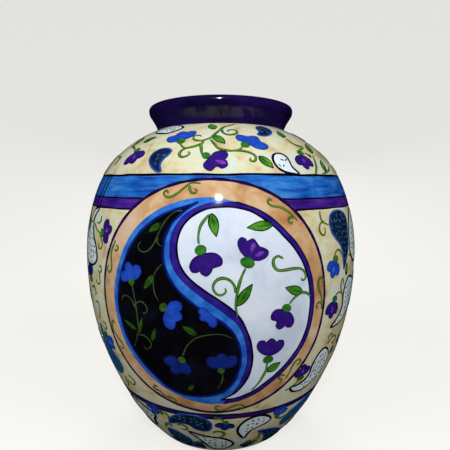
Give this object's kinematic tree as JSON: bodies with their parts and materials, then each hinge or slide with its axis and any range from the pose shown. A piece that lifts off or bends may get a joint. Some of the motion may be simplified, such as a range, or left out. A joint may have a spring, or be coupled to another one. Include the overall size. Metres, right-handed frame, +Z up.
{
  "type": "talavera vase",
  "caption": "Tall wide-shouldered ceramic vase with a flared collar, hand-painted with bands, vines and a round two-tone medallion front and back.",
  "frame": {"origin": "centre of the flat face that the foot ring stands on", "axes": "+Z up along the pot's axis, the front medallion facing -Y, +X to the viewer's right"},
  "size_m": [0.3, 0.3, 0.3615],
  "materials": {
    "bisque_clay": "fired, unglazed and matt",
    "luting_slip": "fired slip, matt",
    "lining_glaze": "plain glossy glaze",
    "indigo_glaze": "very glossy dark glaze",
    "cream_glaze": "glossy, mottled",
    "blue_glaze": "glossy, brush-streaked",
    "purple_glaze": "glossy, brush-streaked",
    "peach_glaze": "glossy, mottled",
    "black_glaze": "very glossy",
    "white_glaze": "glossy"
  },
  "bodies": {
    "root": {"foot_ring": "bisque_clay", "floor_slab": "bisque_clay", "lower_wall": "bisque_clay", "belly_wall": "bisque_clay", "shoulder_wall": "bisque_clay", "collar": "bisque_clay", "foot_slip": "luting_slip", "floor_slip": "luting_slip", "belly_slip": "luting_slip", "shoulder_slip": "luting_slip", "collar_slip": "luting_slip", "inner_lining": "lining_glaze", "collar_coat": "indigo_glaze", "shoulder_ground": "cream_glaze", "side_ground": "cream_glaze", "lower_ground": "cream_glaze", "blue_band": "blue_glaze", "purple_band": "purple_glaze", "front_ring": "peach_glaze", "front_blue_border": "blue_glaze", "front_dark_field": "black_glaze", "front_purple_border": "purple_glaze", "front_light_field": "white_glaze", "back_ring": "peach_glaze", "back_blue_border": "blue_glaze", "back_dark_field": "black_glaze", "back_purple_border": "purple_glaze", "back_light_field": "white_glaze"}
  },
  "joints": []
}
